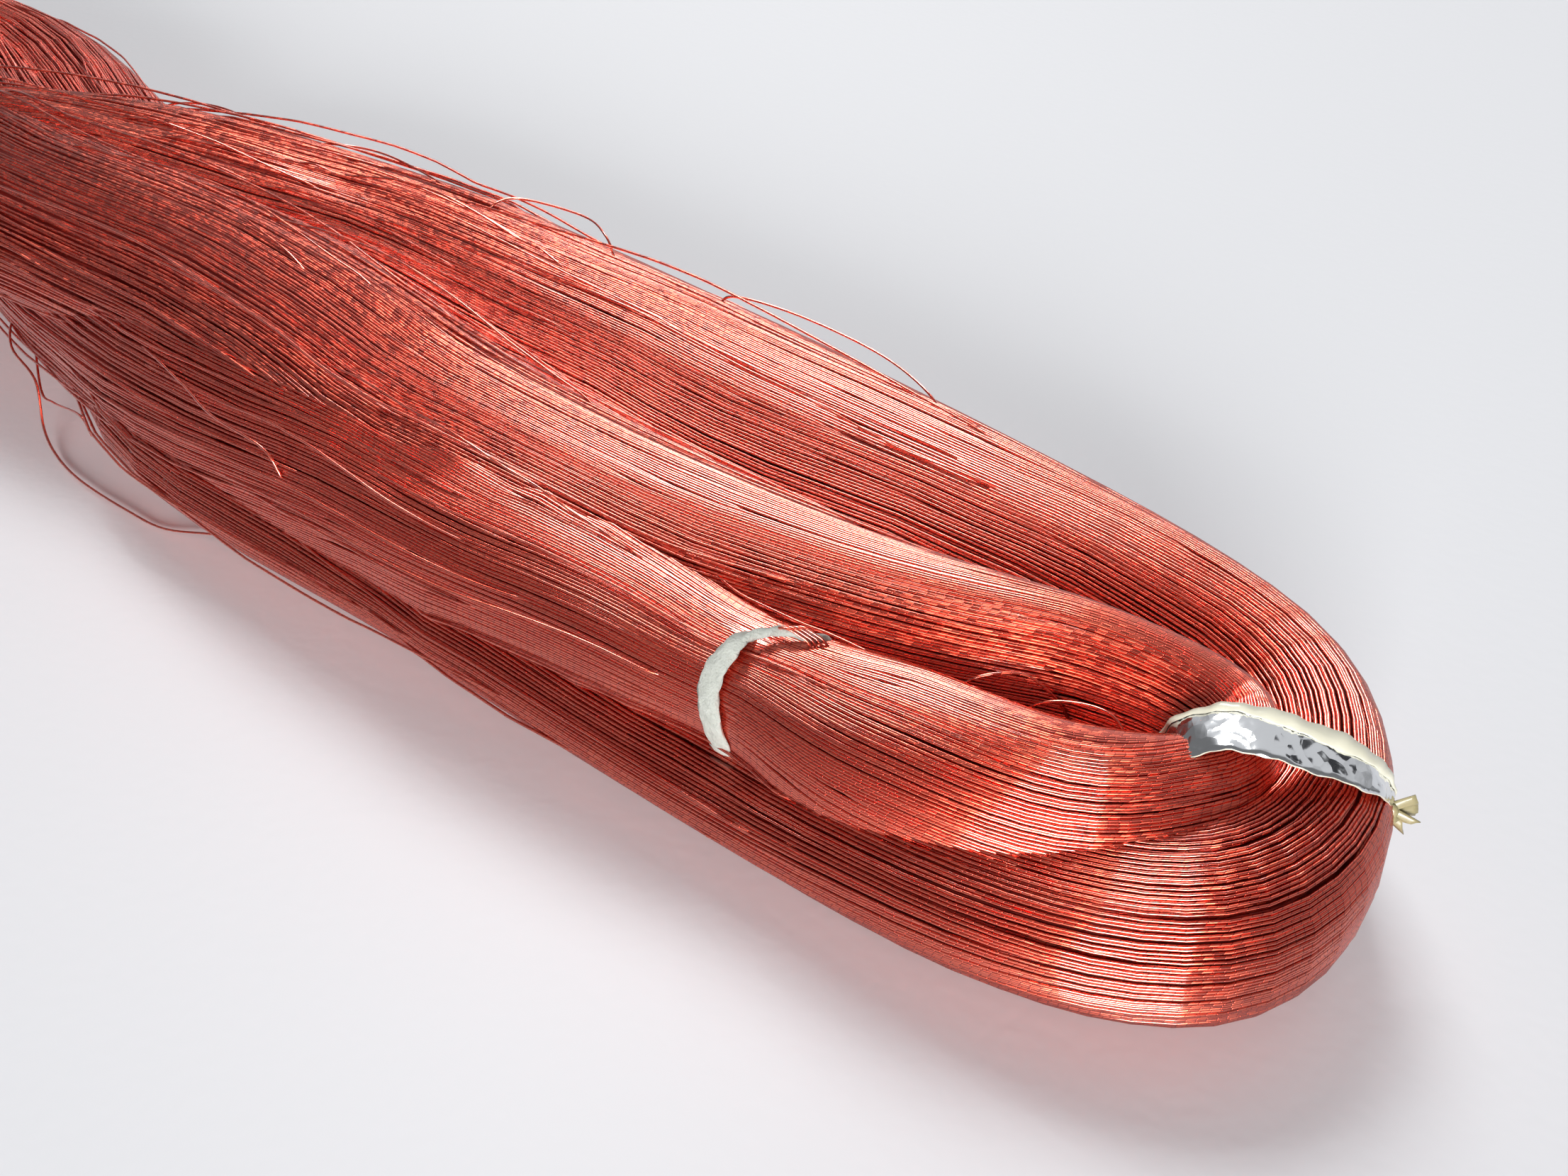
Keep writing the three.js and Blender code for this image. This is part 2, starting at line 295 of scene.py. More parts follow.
def leaf_thread_material():
    material, tree = new_material("lacquered_silver_leaf")
    uv = add(tree, "UVMap", uv_map="turn")
    split = add(tree, "SeparateXYZ", {"Vector": uv.outputs["UV"]})
    # One wrap is one step along the turn, and the strip climbs by one wrap each time it goes round.
    wraps = add(tree, "Math", {0: split.outputs["X"]}, operation="DIVIDE", input1=WRAP)
    helix = add(tree, "Math", {0: wraps.outputs[0], 1: split.outputs["Y"]}, operation="ADD")
    wrap_number = add(tree, "Math", {0: helix.outputs[0]}, operation="FLOOR")
    within = add(tree, "Math", {0: helix.outputs[0]}, operation="FRACT")
    # Each wrap lies at its own small tilt, so neighbouring dashes differ in brightness.
    chance = add(tree, "TexWhiteNoise", {"W": wrap_number.outputs[0]}, noise_dimensions="1D")
    # The dark line between wraps: 0 in the middle of a wrap, 1 at its edge.
    centred = add(tree, "Math", {0: within.outputs[0]}, operation="SUBTRACT", input1=0.5)
    spread = add(tree, "Math", {0: centred.outputs[0]}, operation="ABSOLUTE")
    seam = add(
        tree, "MapRange", {"Value": spread.outputs[0]}, interpolation_type="SMOOTHSTEP",
        From_Min=0.5 - SEAM_SHARE, From_Max=0.5 - SEAM_SHARE * 0.35,
    )
    leaf = add(
        tree, "Mix", {"Factor": chance.outputs["Value"]}, data_type="RGBA",
        input6=linear(LEAF_DEEP), input7=linear(LEAF_COLOUR),
    )
    colour = add(
        tree, "Mix", {"Factor": seam.outputs[0], 6: leaf.outputs[2]}, data_type="RGBA",
        input7=linear(SEAM_COLOUR),
    )
    roughness = add(
        tree, "MapRange", {"Value": chance.outputs["Value"]}, To_Min=SMOOTHEST_LEAF, To_Max=ROUGHEST_LEAF,
    )
    # Heights are in wraps of 0.52 mm, so the tilts run up to 0.07, or 4 degrees, either way.
    lean = add(tree, "MapRange", {"Value": chance.outputs["Value"]}, To_Min=-1.0, To_Max=1.0)
    tilt = add(tree, "Math", {0: lean.outputs[0]}, operation="MULTIPLY", input1=WRAP_TILT)
    ramp = add(tree, "Math", {0: centred.outputs[0], 1: tilt.outputs[0]}, operation="MULTIPLY")
    groove = add(tree, "Math", {0: seam.outputs[0]}, operation="MULTIPLY", input1=SEAM_GROOVE)
    height = add(tree, "Math", {0: ramp.outputs[0], 1: groove.outputs[0]}, operation="SUBTRACT")
    bump = add(tree, "Bump", {"Height": height.outputs[0]}, Strength=1.0, Distance=WRAP * MM)
    # The clear lacquer is the coat, smoother than the leaf below it.
    shader = add(
        tree, "BsdfPrincipled",
        {"Base Color": colour.outputs[2], "Roughness": roughness.outputs[0], "Normal": bump.outputs[0]},
        Metallic=1.0, Coat_Weight=1.0, Coat_Roughness=0.09, Coat_IOR=1.75,
    )
    finish_material(tree, shader)
    return material


leaf_thread = leaf_thread_material()
print("wraps in 100 mm of thread:", round(100 / WRAP))

# %% [markdown]
# Below the outermost turns lie hundreds more, which show only as a dark red ground in the grooves. They are
# made as one plain body for each lock, a little smaller than the lock itself.

# %% The ground below the turns
GROUND_DEPTH = 0.75
GROUND_SIDES = 40
GROUND_STEPS_PER_ROW = 4


def shadowed_turns_material():
    material, tree = new_material("shadowed_leaf_thread")
    place = add(tree, "TexCoord")
    # Threads run along X over most of the hank, so the streaks are stretched that way, 0.3 mm apart.
    stretch = add(tree, "Mapping", {"Vector": place.outputs["Object"]}, vector_type="POINT")
    stretch.inputs["Scale"].default_value = (120.0, 1500.0, 1500.0)
    streaks = add(tree, "TexNoise", {"Vector": stretch.outputs[0]}, Scale=1.0, Detail=2.0)
    colour = add(
        tree, "Mix", {"Factor": streaks.outputs["Fac"]}, data_type="RGBA",
        input6=linear("#6E1612"), input7=linear("#B83A2E"),
    )
    shader = add(
        tree, "BsdfPrincipled", {"Base Color": colour.outputs[2]}, Roughness=0.6, Metallic=0.6,
    )
    finish_material(tree, shader)
    return material


def ring_neighbours(ring):
    return zip(ring, ring[1:] + ring[:1])


def first_ring(bm, points):
    """A ring of vertices through the points, in order."""
    ring = bmesh.ops.create_circle(bm, cap_ends=False, radius=1.0, segments=len(points))["verts"]
    for vertex, point in zip(ring, points):
        vertex.co = point
    return ring


def next_ring(bm, ring, points):
    """Extrudes a ring, puts the new one through the points, and returns it with the faces between."""
    edges = [bm.edges.get(pair) for pair in ring_neighbours(ring)]
    made = bmesh.ops.extrude_edge_only(bm, edges=edges)["geom"]
    fresh = {item for item in made if isinstance(item, bmesh.types.BMVert)}
    following = []
    for vertex, point in zip(ring, points):
        ends = (edge.other_vert(vertex) for edge in vertex.link_edges)
        following.append(next(end for end in ends if end in fresh))
        following[-1].co = point
    faces = [bm.edges.get(pair).link_faces[0] for pair in ring_neighbours(following)]
    return following, faces


def skin(bm, sections, closed, slots=None):
    """A skin through sections of points in millimetres. An open one gets a face at each end.
    Slots give the material of each face round a section."""
    sections = [placed(section) for section in sections]
    start = ring = first_ring(bm, sections[0])
    for points in sections[1:] + (sections[:1] if closed else []):
        ring, faces = next_ring(bm, ring, points)
        for face, slot in zip(faces, slots or []):
            face.material_index = slot
    if closed:
        bmesh.ops.weld_verts(bm, targetmap=dict(zip(ring, start)))
        return
    for end in (start, ring):
        rim = [bm.edges.get(pair) for pair in ring_neighbours(end)]
        for face in bmesh.ops.contextual_create(bm, geom=rim)["faces"]:
            face.material_index = slots[-1] if slots else 0


def ground_body():
    bm = bmesh.new()
    for rows in (INNER_TURNS, OUTER_TURNS):
        lock = Lock(rows, GROUND_STEPS_PER_ROW)
        share = np.arange(GROUND_SIDES)[None, :] / GROUND_SIDES
        points, normals = lock.spot(share * lock.girth[:, None])
        points = points - normals * GROUND_DEPTH
        points[..., 2] = np.maximum(points[..., 2], GROUND_DEPTH / 2)
        skin(bm, points, closed=True)
    bmesh.ops.recalc_face_normals(bm, faces=bm.faces)
    return bm


def finished(mesh, name, materials):
    """A finished object from a mesh, smooth shaded, standing at the frame's origin."""
    mesh.polygons.foreach_set("use_smooth", [True] * len(mesh.polygons))
    for material in materials:
        mesh.materials.append(material)
    piece = bpy.data.objects.new(name, mesh)
    bpy.context.scene.collection.objects.link(piece)
    return piece


def piece_from(bm, name, materials):
    mesh = bpy.data.meshes.new(name)
    bm.to_mesh(mesh)
    bm.free()
    return finished(mesh, name, materials)


ground = piece_from(ground_body(), "turns_below", [shadowed_turns_material()])
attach(ground, "root")
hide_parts("hank")
print("faces below the turns:", len(ground.data.polygons))

# %% [markdown]
# The outer turns are real tubes, one for each turn of thread, from one end of the hank to the other and
# back. They lie 0.22 mm apart. Where a lock is drawn in, as under the paper tie, there isn't room for all of
# them side by side, so some sink below the rest, and come up again where the lock swells. Each turn takes
# its rank in that from a slowly changing number of its own.

# %% Which turns lie on top
THREAD_PITCH = 0.22
THREAD_RADIUS = 0.115
SINK_DEPTH = 0.5
SINK_BLEND = 0.10


def smooth_step(value):
    value = np.clip(value, 0, 1)
    return value * value * (3 - 2 * value)


def surfacing(lock, count, rng):
    """How far each turn is at the surface, from 0 to 1, stations by turns."""
    cycles = rng.integers(1, 3, count)
    start = rng.random(count)
    phase = 2 * math.pi * (cycles[None, :] * lock.travel[:, None] + start[None, :])
    rank = 0.5 + np.arcsin(np.sin(phase)) / math.pi
    room = lock.girth / THREAD_PITCH / count
    return smooth_step((room[:, None] - rank) / SINK_BLEND + 0.5)


def side_by_side(lock, shown):
    """Each turn's distance round the section, with the turns at the surface spread evenly."""
    filled = np.cumsum(shown, axis=1) - shown / 2
    return filled / shown.sum(axis=1, keepdims=True) * lock.girth[:, None]


for name, lock in (("inner", inner), ("outer", outer)):
    least, most = round(lock.girth.min() / THREAD_PITCH), round(lock.girth.max() / THREAD_PITCH)
    print("the", name, "lock has room for", least, "to", most, "turns side by side")

# %% [markdown]
# A wound skein never lies dead even. The turns gather into soft ridges with dark creases between them, which
# drift slowly over the turns, and every turn wanders a little by itself. Both come from sums of sine waves
# that close on themselves, so no turn has a jump in it.

# %% Ridges and wandering
Ridges = namedtuple("Ridges", "number height drift")

BROAD_RIDGES = Ridges(9, 0.30, 2)
FINE_RIDGES = Ridges(31, 0.08, -3)
RIDGE_WARP = 0.75
RIDGE_ROUNDNESS = 0.8
FIRM_RIDGES = 0.4

# How far a turn wanders beside its way and above it, in millimetres, and what slackness adds to that.
SIDEWAYS = 0.03
SLACK_SIDEWAYS = 0.14
UPWARDS = 0.02
SLACK_UPWARDS = 0.06
SWAY_TOGETHER = 1.2
SLACK_TO = 30.0
SLACK_FADE = 60.0


def waves(lock, count, rng, terms, round_cycles, along_cycles):
    """Smooth noise between about -1 and 1 over a lock's surface, stations by turns."""
    share = np.arange(count)[None, :] / count
    total = np.zeros((lock.stations, count))
    for _ in range(terms):
        beside = rng.integers(-round_cycles, round_cycles + 1)
        length = rng.integers(1, along_cycles + 1)
        start = rng.random()
        total += np.sin(2 * math.pi * (beside * share + length * lock.travel[:, None] + start))
    return total / math.sqrt(terms)


def own_waves(lock, count, rng, terms, along_cycles):
    """As waves, but each turn has its own."""
    total = np.zeros((lock.stations, count))
    for _ in range(terms):
        length = rng.integers(2, along_cycles + 1, count)[None, :]
        start = rng.random(count)[None, :]
        total += np.sin(2 * math.pi * (length * lock.travel[:, None] + start))
    return total / math.sqrt(terms)


def ridges(lock, count, rng, kind):
    """Round-topped ridges with sharp creases between them, in millimetres."""
    share = np.arange(count)[None, :] / count
    warp = waves(lock, count, rng, 7, 4, 7)
    place = kind.number * share + kind.drift * lock.travel[:, None] + RIDGE_WARP * warp
    profile = np.abs(np.sin(math.pi * place)) ** RIDGE_ROUNDNESS - 0.6
    strength = 0.5 + 0.6 * waves(lock, count, rng, 6, 5, 8)
    return kind.height * np.clip(strength, 0.0, 1.5) * profile


def looseness(lock):
    """0 near the two loop ends, and 1 over the middle, where the turns lie slack."""
    return 1 - smooth_step((np.abs(lock.middle[:, 0]) - SLACK_TO) / SLACK_FADE)[:, None]


def wound_turns(lock, count, rng):
    """Distances round the section and heights above it, in millimetres, stations by turns."""
    shown = surfacing(lock, count, rng)
    slack = looseness(lock)
    wander = (SIDEWAYS + SLACK_SIDEWAYS * slack) * own_waves(lock, count, rng, 4, 22)
    sway = SWAY_TOGETHER * waves(lock, count, rng, 3, 1, 3)
    height = ridges(lock, count, rng, BROAD_RIDGES) + ridges(lock, count, rng, FINE_RIDGES)
    height = height * (FIRM_RIDGES + (1 - FIRM_RIDGES) * slack)
    height = height + (UPWARDS + SLACK_UPWARDS * slack) * own_waves(lock, count, rng, 4, 20)
    return side_by_side(lock, shown) + wander + sway, height - SINK_DEPTH * (1 - shown)


print("ridges round a lock:", BROAD_RIDGES.number, "broad and", FINE_RIDGES.number, "fine")

# %% [markdown]
# Where two locks lie side by side, stray turns fill the groove between them, so it is shallower than the
# locks alone would make it. Each point near a neighbouring lock is pushed up out of the groove, the more so
# the closer it is. The turns of one lock are its own neighbours across the eye, but only well away from the
# loop end, where the eye has closed. At the loop end itself the grooves stay as deep as they are, and so
# does the place where the paper tie draws the outgoing turns together.

# %% Filling the grooves
FILL = 1.1
FILL_REACH = 4.5
EYE_FROM = 106.0
GROOVE_FROM = 122.0
FADE = 14.0
TIE_X = 117.8
TIE_HOLD = 4.5
TIE_PRESS = 0.3
LIMB_EDGE = -11.0


def nearest_on(points, normals, tree, tree_normals):
    """The distance from each point to the tree's nearest one, and the sum of both their normals."""
    found = [tree.find(point)[1:] for point in points]
    index = np.array([hit[0] for hit in found])
    return np.array([hit[1] for hit in found]), normals + tree_normals[index]


def tree_of(points):
    tree = KDTree(len(points))
    for number, point in enumerate(points):
        tree.insert(point, number)
    tree.balance()
    return tree


def faded(points, from_x):
    """1 over the middle of the hank, and 0 from a distance out to the loop end."""
    return 1 - smooth_step((np.abs(points[:, 0]) - from_x) / FADE + 0.5)


def held_by_tie(points):
    """1 at the paper tie, and 0 away from it."""
    return np.exp(-(((points[:, 0] - TIE_X) / TIE_HOLD) ** 2)) * (points[:, 1] < LIMB_EDGE)


def raise_from(points, normals, others, other_normals, share):
    """Points pushed out of the groove between them and other points."""
    gap, way = nearest_on(points, normals, tree_of(others), other_normals)
    amount = share * FILL * np.clip(1 - gap / FILL_REACH, 0, 1) ** 2
    return amount[:, None] * unit(way + [0.0, 0.0, 0.6])


def fill_grooves(surfaces):
    """Surfaces are pairs of points and normals, stations by turns. New points come back for each."""
    flat = [(points.reshape(-1, 3), normals.reshape(-1, 3)) for points, normals in surfaces]
    filled = []
    for number, (points, normals) in enumerate(flat):
        others, other_normals = flat[1 - number]
        share = faded(points, GROOVE_FROM) * (1 - held_by_tie(points))
        push = raise_from(points, normals, others, other_normals, share)
        if number == 0:
            eye = faded(points, EYE_FROM)
            heading = np.gradient(surfaces[0][0][..., 0], axis=0).reshape(-1) > 0
            for side in (heading, ~heading):
                push[side] += raise_from(
                    points[side], normals[side], points[~side], normals[~side], eye[side],
                )
        filled.append((points + push).reshape(surfaces[number][0].shape))
    return filled


print("grooves are filled by up to", FILL, "mm where locks are less than", FILL_REACH, "mm apart")

# %% [markdown]
# Hundreds of tubes are quicker made as arrays than by operators: each turn has four corners at every
# station, with smooth shading, which looks round at this size. The turns are joined into a few pieces.

# %% Tubes from arrays
TUBE_SIDES = 4
MOST_TRIANGLES = 190000
TABLE_GAP = 0.01

# Each turn's wraps start this many wraps further along, at most, so that neighbours don't line up.
MOST_SHIFT = 700


def tube_corners(points, normals, radius, closed):
    """Corners of tubes round paths: stations, turns, corners."""
    if closed:
        along = unit(np.roll(points, -1, 0) - np.roll(points, 1, 0))
    else:
        along = unit(np.gradient(points, axis=0))
    beside = unit(np.cross(along, normals))
    above = np.cross(beside, along)
    angle = 2 * math.pi * np.arange(TUBE_SIDES) / TUBE_SIDES
    ring = above[:, :, None, :] * np.cos(angle)[:, None] + beside[:, :, None, :] * np.sin(angle)[:, None]
    return points[:, :, None, :] + radius * ring


def tube_piece(name, points, normals, radius, tone, closed=True):
    """One object of tubes, with the turn's length in its UV map. Open ones get a face at each end."""
    stations, turns, _ = points.shape
    corners = tube_corners(points, normals, radius, closed)
    corners[..., 2] = np.maximum(corners[..., 2], TABLE_GAP)
    index = np.arange(corners[..., 0].size).reshape(stations, turns, TUBE_SIDES)
    ahead = np.roll(index, -1, 0)
    faces = np.stack([index, np.roll(index, -1, 2), np.roll(ahead, -1, 2), ahead], axis=-1)
    steps = np.linalg.norm(np.roll(points, -1, 0) - points, axis=2)
    reach = np.cumsum(steps, axis=0)
    first = (reach - steps)[:, :, None] + MOST_SHIFT * WRAP * tone[None, :, None]
    last = first + steps[:, :, None]
    near = np.arange(TUBE_SIDES) / TUBE_SIDES
    far = near + 1 / TUBE_SIDES
    shape = (stations, turns, TUBE_SIDES)
    length = np.stack([np.broadcast_to(v, shape) for v in (first, first, last, last)], axis=-1)
    girth = np.stack([np.broadcast_to(v, shape) for v in (near, far, far, near)], axis=-1)
    layout = np.stack([length, girth], axis=-1)
    if not closed:
        ends = np.concatenate([index[0, :, ::-1], index[-1]])
        faces = np.concatenate([faces[:-1].reshape(-1, TUBE_SIDES), ends])
        end_layout = np.concatenate([layout[0, :, ::-1, 0], layout[-1, :, :, 0]])
        layout = np.concatenate([layout[:-1].reshape(-1, TUBE_SIDES, 2), end_layout])
    mesh = bpy.data.meshes.new(name)
    places = placed(corners.reshape(-1, 3))
    mesh.from_pydata(places.tolist(), [], faces.reshape(-1, TUBE_SIDES).tolist())
    layer = mesh.uv_layers.new(name="turn")
    layer.uv.foreach_set("vector", layout.astype(np.float32).ravel())
    piece = finished(mesh, name, [leaf_thread])
    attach(piece, "root")
    return piece


def lay_turns(name, points, normals, rng):
    """The turns of a lock as joined pieces, none of them over the limit of triangles."""
    points[..., 2] = np.maximum(points[..., 2], THREAD_RADIUS)
    stations, count, _ = points.shape
    most = MOST_TRIANGLES // (stations * TUBE_SIDES * 2)
    tone = rng.random(count)
    pieces = []
    for number, chosen in enumerate(np.array_split(np.arange(count), math.ceil(count / most)), 1):
        pieces.append(tube_piece(
            f"{name}_{number}", points[:, chosen], normals[:, chosen], THREAD_RADIUS, tone[chosen],
        ))
    return pieces


print("corners at a station of a tube:", TUBE_SIDES)

# %% [markdown]
# Each lock gets about as many turns as lie side by side where it is widest. Each draws from a random
# generator of its own, with its own seed, so a change to one leaves the other as it was.

# %% Lay the turns
INNER_COUNT = 222
OUTER_COUNT = 273
INNER_RNG = np.random.default_rng(11)
OUTER_RNG = np.random.default_rng(23)


def lock_surface(lock, count, rng):
    beside, height = wound_turns(lock, count, rng)
    points, normals = lock.spot(beside)
    if lock is inner:
        # The paper tie draws the outgoing turns together, and lies almost flush with them.
        held = held_by_tie(lock.middle)[:, None]
        height = height * (1 - held) - TIE_PRESS * held
    return points + normals * height[..., None], normals


surfaces = [lock_surface(inner, INNER_COUNT, INNER_RNG), lock_surface(outer, OUTER_COUNT, OUTER_RNG)]
inner_points, outer_points = fill_grooves(surfaces)
turns = lay_turns("inner_turns", inner_points, surfaces[0][1], INNER_RNG)
turns += lay_turns("outer_turns", outer_points, surfaces[1][1], OUTER_RNG)
print("pieces of turns:", len(turns), "with", sum(len(p.data.polygons) for p in turns) * 2, "triangles")

# %% [markdown]
# Over the even turns lie looser ones. Some drift across their neighbours at a small angle, and some, mostly
# in the slack middle of the hank, have slipped and bow out from it. Each loose run leaves the lock's surface
# from below, follows it for a while, and goes down into it again, so its ends don't show. Those that would
# reach the tight loop ends are left out, as the turns lie firm there.

# %% Loose runs of thread
RUN_STATIONS = 56
RUN_DEPTH = 0.7
RUN_RISE = 0.12
RUN_LIMIT = 130.0
LOOSE_RADIUS = THREAD_RADIUS * 0.9
Looseness = namedtuple("Looseness", "count shortest longest drift lift near_middle seed")

DRIFTING = Looseness(150, 25, 75, 3.5, 0.32, False, 41)
BOWED = Looseness(100, 22, 60, 2.5, 2.2, True, 43)


def run_on(lock, points, normals, kind, rng):
    """Loose runs over a lock, as points and normals, stations by runs."""
    stations, count, _ = points.shape
    span = rng.uniform(kind.shortest, kind.longest, kind.count) / lock.length * stations
    start = rng.uniform(0, stations, kind.count)
    if kind.near_middle:
        calm = np.argsort(np.abs(lock.middle[:, 0]))[: stations // 2]
        start = rng.choice(calm, kind.count) - span / 2
    turn = rng.uniform(0, count, kind.count)
    drift = rng.uniform(-1, 1, kind.count) * kind.drift / THREAD_PITCH
    part = np.linspace(0, 1, RUN_STATIONS)[:, None]
    station = start + span * part
    column = turn + drift * (part - 0.5) + rng.uniform(-2, 2, kind.count) * np.sin(2 * math.pi * part)
    whole, column_whole = np.floor(station).astype(int), np.floor(column).astype(int)
    blend, column_blend = (station - whole)[..., None], (column - column_whole)[..., None]

    def between(grid):
        corner = [
            grid[(whole + down) % stations, (column_whole + right) % count]
            for down, right in ((0, 0), (1, 0), (0, 1), (1, 1))
        ]
        near = corner[0] * (1 - blend) + corner[1] * blend
        far = corner[2] * (1 - blend) + corner[3] * blend
        return near * (1 - column_blend) + far * column_blend

    rise = smooth_step(np.minimum(part, 1 - part) / RUN_RISE)
    bow = np.sin(math.pi * part) ** 2 * rng.uniform(0.15, 1, kind.count)
    base = THREAD_RADIUS if kind.near_middle else 2 * THREAD_RADIUS
    height = rise * (RUN_DEPTH + base) - RUN_DEPTH + bow * kind.lift
    outward = unit(between(normals))
    return between(points) + outward * height[..., None], outward


loose = []
for name, lock, points, normals in (
    ("inner", inner, inner_points, surfaces[0][1]),
    ("outer", outer, outer_points, surfaces[1][1]),
):
    for label, kind in (("drifting", DRIFTING), ("bowed", BOWED)):
        rng = np.random.default_rng(kind.seed + len(loose))
        run_points, run_normals = run_on(lock, points, normals, kind, rng)
        run_points[..., 2] = np.maximum(run_points[..., 2], THREAD_RADIUS)
        clear = np.abs(run_points[..., 0]).max(axis=0) < RUN_LIMIT
        loose.append(tube_piece(
            f"{label}_{name}", run_points[:, clear], run_normals[:, clear], LOOSE_RADIUS,
            rng.random(kind.count)[clear], closed=False,
        ))
print("loose runs:", sum(len(p.data.polygons) for p in loose) * 2, "triangles in", len(loose), "pieces")

# %% [markdown]
# A few slipped turns are seen one by one: loops that have come out over the table on the near side and along
# the far outline, two at the eye, and a few that cross over the paper tie's end. Each is a short list of
# spots on its way, and its ends are drawn on downwards, into the hank.

# %% Slipped turns seen one by one
Spot = namedtuple("Spot", "x y z")
SLIP_STATIONS = 64
SLIP_DIVE = 1.6
SLIP_SEED = 47

NEAR_LOOP = [
    Spot(40.4, -16.1, 5.0), Spot(44.0, -18.1, 5.0), Spot(48.1, -18.9, 4.0), Spot(49.9, -20.3, 1.0),
    Spot(53.2, -21.4, 0.3), Spot(57.7, -22.1, 0.3), Spot(63.6, -22.1, 0.3), Spot(67.8, -21.7, 0.3),
    Spot(72.4, -20.2, 1.0), Spot(78.9, -20.2, 3.0),
]
SMALL_NEAR_LOOP = [
    Spot(43.6, -15.9, 5.0), Spot(48.0, -18.7, 3.0), Spot(50.5, -19.1, 3.0), Spot(56.9, -20.2, 5.0),
]
LOW_BOW = [
    Spot(104.5, -19.6, 3.0), Spot(105.3, -19.6, 1.5), Spot(107.6, -19.3, 0.6), Spot(110.9, -18.6, 0.8),
    Spot(114.1, -18.0, 2.5), Spot(118.0, -18.0, 5.5), Spot(121.6, -18.0, 7.0), Spot(123.6, -17.4, 6.5),
]
LOW_CHORD = [
    Spot(111.4, -18.9, 5.0), Spot(114.3, -18.6, 3.4), Spot(119.0, -17.9, 4.2), Spot(124.6, -16.6, 5.5),
]
SIDE_BOW = [
    Spot(63.9, -17.2, 12.0), Spot(70.3, -18.4, 12.0), Spot(75.1, -19.5, 12.0), Spot(80.9, -19.8, 12.0),
]
FAR_BOWS = [
    [Spot(32.2, 7.4, 14.0), Spot(35.5, 9.3, 14.2), Spot(40.3, 9.6, 14.2), Spot(46.3, 8.9, 14.0)],
    [Spot(48.5, 10.6, 13.5), Spot(52.3, 12.6, 13.5), Spot(57.1, 12.9, 13.5), Spot(64.6, 11.6, 13.5)],
    [Spot(70.1, 11.3, 14.0), Spot(71.2, 13.4, 14.0), Spot(77.2, 14.2, 14.0), Spot(80.9, 12.8, 14.0)],
    [Spot(93.5, 12.9, 13.0), Spot(99.2, 13.4, 13.2), Spot(107.0, 12.6, 13.2), Spot(112.5, 10.6, 13.0)],
]
EYE_LOOPS = [
    [Spot(129.2, -10.4, 12.6), Spot(131.0, -8.8, 12.8), Spot(132.4, -8.0, 11.8), Spot(133.6, -7.6, 10.2)],
    [Spot(132.3, -8.9, 11.4), Spot(134.2, -8.1, 12.0), Spot(136.2, -8.0, 12.2), Spot(137.4, -8.4, 11.2)],
]
OVER_TIE_END = [
    Spot(118.3, -14.75, 12.9), Spot(119.0, -14.6, 13.5), Spot(119.7, -14.4, 13.75), Spot(120.4, -14.2, 13.5),
    Spot(121.1, -14.0, 12.9),
]
OVER_TIE_COUNT = 4
OVER_TIE_STEP = np.array([0.2, 0.22, -0.02])


def along_spots(spots, count):
    """Evenly numbered points on the smooth open curve through a few spots."""
    rows = np.array(spots, float)
    rows = np.vstack([2 * rows[0] - rows[1], rows, 2 * rows[-1] - rows[-2]])
    places = 1 + np.linspace(0, len(spots) - 1, count) * (1 - 1e-9)
    return through_rows(rows, places)[0]


def slipped_turn(spots):
    """The turn through the spots, with both ends drawn on down into the hank."""
    rows = np.array(spots, float)
    down = np.array([0.0, 0.0, SLIP_DIVE])
    before = rows[0] + unit(rows[0] - rows[1]) * SLIP_DIVE - down
    after = rows[-1] + unit(rows[-1] - rows[-2]) * SLIP_DIVE - down
    return along_spots(np.vstack([before, rows, after]), SLIP_STATIONS)


routes = [NEAR_LOOP, SMALL_NEAR_LOOP, LOW_BOW, LOW_CHORD, SIDE_BOW]
routes += FAR_BOWS + EYE_LOOPS
routes += [np.array(OVER_TIE_END) + number * OVER_TIE_STEP for number in range(OVER_TIE_COUNT)]
slip_points = np.stack([slipped_turn(spots) for spots in routes], axis=1)
slip_points[..., 2] = np.maximum(slip_points[..., 2], THREAD_RADIUS)
slip_normals = np.broadcast_to([0.0, 0.0, 1.0], slip_points.shape)
tube_piece(
    "slipped_turns", slip_points, slip_normals, LOOSE_RADIUS,
    np.random.default_rng(SLIP_SEED).random(len(routes)), closed=False,
)
print("turns placed one by one:", len(routes))

# %% [markdown]
# The strip that marks the loop end is plastic film with a mirror of metal on one side and a cream back. It
# goes down through the eye of the hank, round the turns and out at the tip, where it is knotted. Its far edge
# is folded over, so a cream hem shows along it. Each row gives how far the strip is along its heading from
# the eye, how far to the left of that, how high, how wide it is, and how wide its hem is. One thin section
# is swept through the rows, and small waves added to its points make the dents of the film.

# %% The film strip
FilmRow = namedtuple("FilmRow", "along left z width hem")

